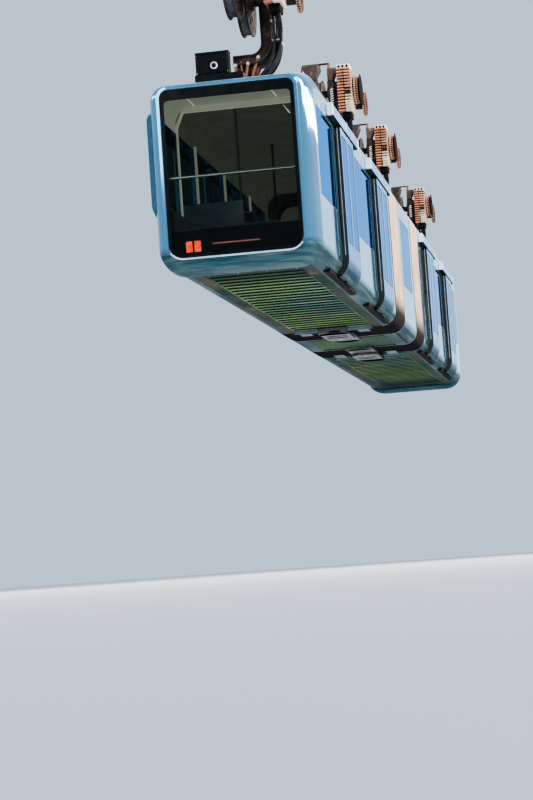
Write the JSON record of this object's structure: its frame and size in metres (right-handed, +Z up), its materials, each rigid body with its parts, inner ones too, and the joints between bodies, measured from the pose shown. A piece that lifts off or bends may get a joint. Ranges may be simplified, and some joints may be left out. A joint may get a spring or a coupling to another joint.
{
  "type": "articulated suspended monorail car",
  "caption": "Articulated monorail car that hangs below one rail from swivelling bogies, with sliding doors on one side, gangway bellows and a glazed rear lounge.",
  "frame": {"origin": "on the centreline of the rail, level with the rail head under the wheel treads, halfway along the car", "axes": "+X is the direction of travel, +Y is left (the side without doors), +Z is up"},
  "size_m": [24.06, 2.3883, 4.585],
  "materials": {
    "body_paint": "light sky-blue metallic gloss paint",
    "roof_paint": "light sky-blue paint, dusty on top",
    "floor_metal": "ribbed bright metal underside",
    "glass": "blue tinted glazing",
    "door_paint": "light sky-blue door leaf with a full-height window and dark rubber edges",
    "bellows_fabric": "grey-brown coated fabric",
    "bogie_steel": "dark brown weathered steel",
    "drive_iron": "rust-brown finned casting with pale fins",
    "wheel_steel": "worn steel, bright on the tread",
    "black_plastic": "black satin",
    "lamp_red": "red tail lamp tiles and light bar on a black panel",
    "lamp_white": "white head lamps and light bar on a black panel",
    "seat_cover": "dark blue-grey seat cover",
    "rail_steel": "polished tube",
    "lining": "grey-green lining panel"
  },
  "bodies": {
    "mid_car": {"mid_shell": "body_paint", "mid_glass_right": "glass", "mid_glass_left": "glass", "bellows_rear": "bellows_fabric", "bellows_front": "bellows_fabric"},
    "rear_car": {"rear_nose": "body_paint", "rear_floor": "floor_metal", "rear_roof": "roof_paint", "rear_wall_left": "body_paint", "rear_wall_right": "body_paint", "rear_windscreen": "glass", "rear_glass_left": "glass", "rear_glass_right_a": "glass", "rear_glass_right_b": "glass", "rear_seats": "seat_cover", "rear_bench": "seat_cover", "rear_hand_rail": "rail_steel", "rear_lamp_panel": "lamp_red", "rear_roof_box": "black_plastic"},
    "front_car": {"front_nose": "body_paint", "front_floor": "floor_metal", "front_roof": "roof_paint", "front_wall_left": "body_paint", "front_wall_right": "body_paint", "front_windscreen": "glass", "front_glass_left": "glass", "front_glass_right_a": "glass", "front_glass_right_b": "glass", "front_seats": "seat_cover", "front_partition": "lining", "front_desk": "black_plastic", "front_driver_seat": "seat_cover", "front_headlamp_panel": "lamp_white"},
    "bogie_1": {"bogie_1_frame": "bogie_steel", "bogie_1_drive": "drive_iron"},
    "wheel_1_rear": {"wheel_1_rear": "wheel_steel"},
    "wheel_1_front": {"wheel_1_front": "wheel_steel"},
    "bogie_2": {"bogie_2_frame": "bogie_steel", "bogie_2_drive": "drive_iron"},
    "wheel_2_rear": {"wheel_2_rear": "wheel_steel"},
    "wheel_2_front": {"wheel_2_front": "wheel_steel"},
    "bogie_3": {"bogie_3_frame": "bogie_steel", "bogie_3_drive": "drive_iron"},
    "wheel_3_rear": {"wheel_3_rear": "wheel_steel"},
    "wheel_3_front": {"wheel_3_front": "wheel_steel"},
    "bogie_4": {"bogie_4_frame": "bogie_steel", "bogie_4_drive": "drive_iron"},
    "wheel_4_rear": {"wheel_4_rear": "wheel_steel"},
    "wheel_4_front": {"wheel_4_front": "wheel_steel"},
    "door_1_aft": {"door_1_aft": "door_paint"},
    "door_1_fore": {"door_1_fore": "door_paint"},
    "door_2_aft": {"door_2_aft": "door_paint"},
    "door_2_fore": {"door_2_fore": "door_paint"},
    "door_3_aft": {"door_3_aft": "door_paint"},
    "door_3_fore": {"door_3_fore": "door_paint"},
    "door_4_aft": {"door_4_aft": "door_paint"},
    "door_4_fore": {"door_4_fore": "door_paint"}
  },
  "joints": [
    {"name": "rear_gangway", "type": "hinge", "parent": "mid_car", "child": "rear_car", "pos_m": [-1.805, 0, -3.6], "axis": [0, 0, 1], "range_deg": [-15, 15], "deforming": ["bellows_rear"]},
    {"name": "front_gangway", "type": "hinge", "parent": "mid_car", "child": "front_car", "pos_m": [1.805, 0, -3.6], "axis": [0, 0, 1], "range_deg": [-15, 15], "deforming": ["bellows_front"]},
    {"name": "bogie_1_swivel", "type": "hinge", "parent": "rear_car", "child": "bogie_1", "pos_m": [-10.42, 0, -0.89], "axis": [0, 0, 1], "range_deg": [-20, 20]},
    {"name": "wheel_1_rear_spin", "type": "hinge", "parent": "bogie_1", "child": "wheel_1_rear", "pos_m": [-10.97, 0, 0.45], "axis": [0, 1, 0], "continuous": true},
    {"name": "wheel_1_front_spin", "type": "hinge", "parent": "bogie_1", "child": "wheel_1_front", "pos_m": [-9.87, 0, 0.45], "axis": [0, 1, 0], "continuous": true},
    {"name": "bogie_2_swivel", "type": "hinge", "parent": "rear_car", "child": "bogie_2", "pos_m": [-2.77, 0, -0.89], "axis": [0, 0, 1], "range_deg": [-20, 20]},
    {"name": "wheel_2_rear_spin", "type": "hinge", "parent": "bogie_2", "child": "wheel_2_rear", "pos_m": [-3.32, 0, 0.45], "axis": [0, 1, 0], "continuous": true},
    {"name": "wheel_2_front_spin", "type": "hinge", "parent": "bogie_2", "child": "wheel_2_front", "pos_m": [-2.22, 0, 0.45], "axis": [0, 1, 0], "continuous": true},
    {"name": "bogie_3_swivel", "type": "hinge", "parent": "front_car", "child": "bogie_3", "pos_m": [2.77, 0, -0.89], "axis": [0, 0, 1], "range_deg": [-20, 20]},
    {"name": "wheel_3_rear_spin", "type": "hinge", "parent": "bogie_3", "child": "wheel_3_rear", "pos_m": [2.22, 0, 0.45], "axis": [0, 1, 0], "continuous": true},
    {"name": "wheel_3_front_spin", "type": "hinge", "parent": "bogie_3", "child": "wheel_3_front", "pos_m": [3.32, 0, 0.45], "axis": [0, 1, 0], "continuous": true},
    {"name": "bogie_4_swivel", "type": "hinge", "parent": "front_car", "child": "bogie_4", "pos_m": [10.42, 0, -0.89], "axis": [0, 0, 1], "range_deg": [-20, 20]},
    {"name": "wheel_4_rear_spin", "type": "hinge", "parent": "bogie_4", "child": "wheel_4_rear", "pos_m": [9.87, 0, 0.45], "axis": [0, 1, 0], "continuous": true},
    {"name": "wheel_4_front_spin", "type": "hinge", "parent": "bogie_4", "child": "wheel_4_front", "pos_m": [10.97, 0, 0.45], "axis": [0, 1, 0], "continuous": true},
    {"name": "door_1_aft_slide", "type": "slide", "parent": "rear_car", "child": "door_1_aft", "axis": [-1, 0, 0], "range_m": [0, 0.62]},
    {"name": "door_1_fore_slide", "type": "slide", "parent": "rear_car", "child": "door_1_fore", "axis": [1, 0, 0], "range_m": [0, 0.62]},
    {"name": "door_2_aft_slide", "type": "slide", "parent": "rear_car", "child": "door_2_aft", "axis": [-1, 0, 0], "range_m": [0, 0.62]},
    {"name": "door_2_fore_slide", "type": "slide", "parent": "rear_car", "child": "door_2_fore", "axis": [1, 0, 0], "range_m": [0, 0.62]},
    {"name": "door_3_aft_slide", "type": "slide", "parent": "front_car", "child": "door_3_aft", "axis": [-1, 0, 0], "range_m": [0, 0.62]},
    {"name": "door_3_fore_slide", "type": "slide", "parent": "front_car", "child": "door_3_fore", "axis": [1, 0, 0], "range_m": [0, 0.62]},
    {"name": "door_4_aft_slide", "type": "slide", "parent": "front_car", "child": "door_4_aft", "axis": [-1, 0, 0], "range_m": [0, 0.62]},
    {"name": "door_4_fore_slide", "type": "slide", "parent": "front_car", "child": "door_4_fore", "axis": [1, 0, 0], "range_m": [0, 0.62]}
  ],
  "couplings": [
    {"joint": "door_1_fore_slide", "follows": "door_1_aft_slide", "ratio": 1},
    {"joint": "door_2_fore_slide", "follows": "door_2_aft_slide", "ratio": 1},
    {"joint": "door_3_fore_slide", "follows": "door_3_aft_slide", "ratio": 1},
    {"joint": "door_4_fore_slide", "follows": "door_4_aft_slide", "ratio": 1}
  ]
}
